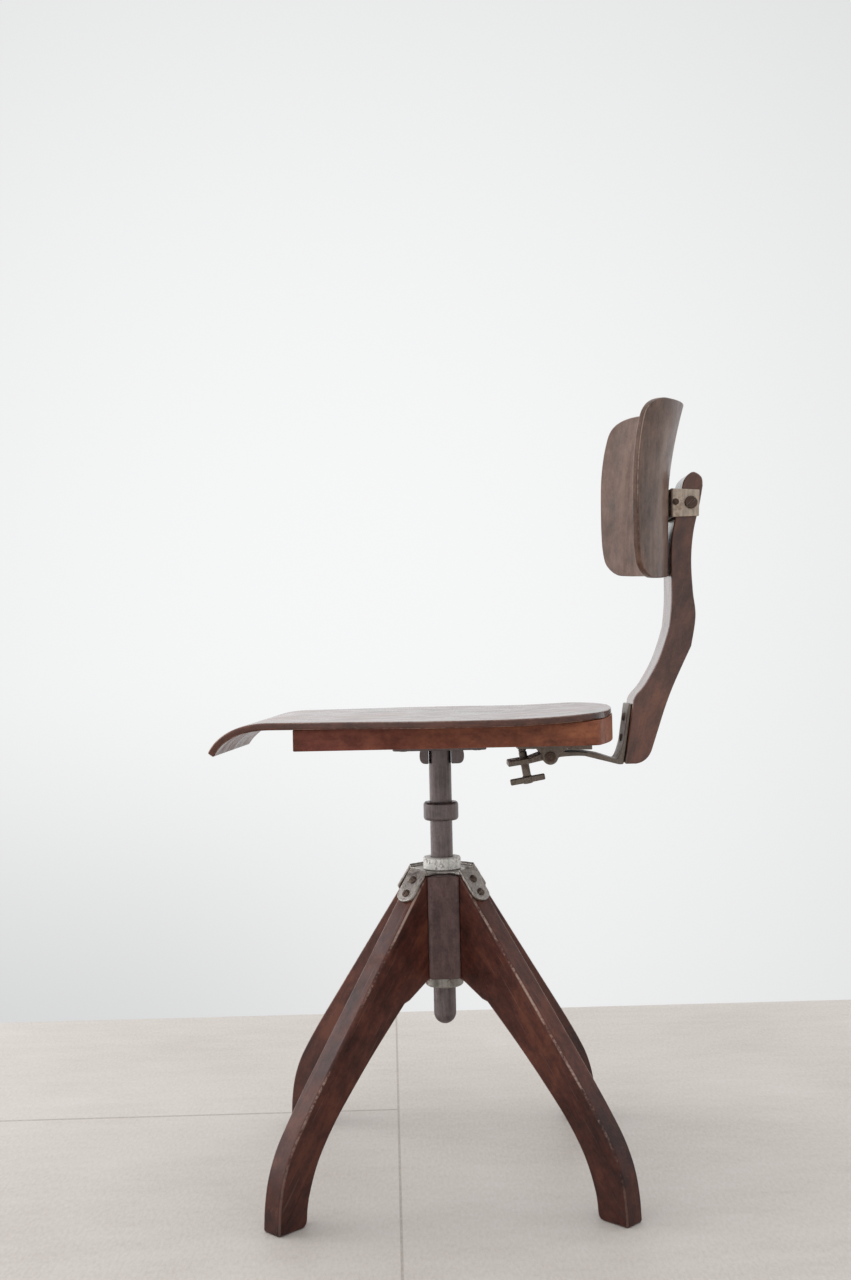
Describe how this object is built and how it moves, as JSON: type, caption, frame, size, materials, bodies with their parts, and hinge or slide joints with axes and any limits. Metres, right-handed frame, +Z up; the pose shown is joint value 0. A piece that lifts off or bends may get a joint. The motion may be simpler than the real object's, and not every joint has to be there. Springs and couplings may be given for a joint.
{
  "type": "drafting chair",
  "caption": "Swivelling drafting chair with splayed wooden legs, a sliding steel post, a moulded plywood seat and a small tilting curved backrest.",
  "frame": {"origin": "on the floor, in the middle of the whole chair's length and width", "axes": "+Z up, the sitter faces -X, so the backrest is at +X, and +Y is the sitter's right"},
  "size_m": [0.5032, 0.37, 0.7986],
  "materials": {
    "dark_wood": "dark red-brown stain, worn satin varnish",
    "frame_wood": "orange-brown stained hardwood",
    "seat_plywood": "dark stained plywood, polished by use",
    "back_plywood": "dark stained plywood, satin varnish",
    "dark_steel": "dark worn steel",
    "worn_steel": "bare worn steel with rust",
    "bracket_steel": "grey-brown patinated steel",
    "screw_steel": "rusted steel"
  },
  "bodies": {
    "base": {"leg_front_left": "dark_wood", "leg_front_right": "dark_wood", "leg_rear_left": "dark_wood", "leg_rear_right": "dark_wood", "hub_block": "dark_wood", "post_sleeve": "dark_steel", "lower_bush": "worn_steel", "clamp_ring": "worn_steel", "star_plate": "worn_steel", "leg_dowel_1": "frame_wood", "leg_dowel_2": "frame_wood", "leg_dowel_3": "frame_wood", "leg_dowel_4": "frame_wood", "star_screw_1": "screw_steel", "star_screw_2": "screw_steel", "star_screw_3": "screw_steel", "star_screw_4": "screw_steel", "star_screw_5": "screw_steel", "star_screw_6": "screw_steel", "star_screw_7": "screw_steel", "star_screw_8": "screw_steel"},
    "post": {"post": "dark_steel", "stop_collar": "dark_steel", "collar_set_screw": "screw_steel", "spigot_washer": "dark_steel", "spigot_nut": "screw_steel"},
    "seat": {"seat_plate": "dark_steel", "centre_batten": "frame_wood", "side_rail_left": "frame_wood", "side_rail_right": "frame_wood", "front_rail": "frame_wood", "rear_rail": "frame_wood", "seat_shell": "seat_plywood", "tilt_bracket": "bracket_steel", "tilt_pivot_pin": "screw_steel", "seat_plate_screw_1": "screw_steel", "seat_plate_screw_2": "screw_steel", "seat_plate_screw_3": "screw_steel", "seat_plate_screw_4": "screw_steel", "tilt_bracket_screw_1": "screw_steel", "tilt_bracket_screw_2": "screw_steel", "tilt_bracket_screw_3": "screw_steel", "tilt_bracket_screw_4": "screw_steel"},
    "back_arm": {"tilt_lever": "bracket_steel", "back_upright": "dark_wood", "upright_screw_1": "screw_steel", "upright_screw_2": "screw_steel"},
    "screw_tip": {"screw_foot": "bracket_steel"},
    "tilt_screw": {"tilt_screw": "worn_steel"},
    "backrest": {"back_shell": "back_plywood", "back_fork": "bracket_steel", "fork_rivet_1": "screw_steel", "fork_rivet_2": "screw_steel", "back_pivot_bolt": "screw_steel", "back_pivot_nut": "screw_steel", "back_shell_screw_1": "screw_steel", "back_shell_screw_2": "screw_steel", "back_shell_screw_3": "screw_steel", "back_shell_screw_4": "screw_steel"}
  },
  "joints": [
    {"name": "seat_height", "type": "slide", "parent": "base", "child": "post", "axis": [0, 0, 1], "range_m": [-0.036, 0.04]},
    {"name": "seat_swivel", "type": "hinge", "parent": "post", "child": "seat", "pos_m": [-0.0279, 0, 0.439], "axis": [0, 0, 1], "continuous": true},
    {"name": "back_arm_tilt", "type": "hinge", "parent": "seat", "child": "back_arm", "pos_m": [0.0867, 0, 0.4287], "axis": [0, 1, 0], "range_deg": [-3.5, 8]},
    {"name": "screw_advance", "type": "slide", "parent": "back_arm", "child": "screw_tip", "axis": [-0.165, 0, 0.9863], "range_m": [-0.0045, 0.002]},
    {"name": "screw_turn", "type": "hinge", "parent": "screw_tip", "child": "tilt_screw", "pos_m": [0.061, 0, 0.4235], "axis": [-0.165, 0, 0.9863], "range_deg": [-760, 340]},
    {"name": "backrest_tilt", "type": "hinge", "parent": "back_arm", "child": "backrest", "pos_m": [0.2379, 0, 0.6902], "axis": [0, 1, 0], "range_deg": [0, 14]}
  ],
  "couplings": [
    {"joint": "screw_advance", "follows": "back_arm_tilt", "m_per_rad": -0.0295},
    {"joint": "screw_turn", "follows": "back_arm_tilt", "ratio": -92.677}
  ]
}
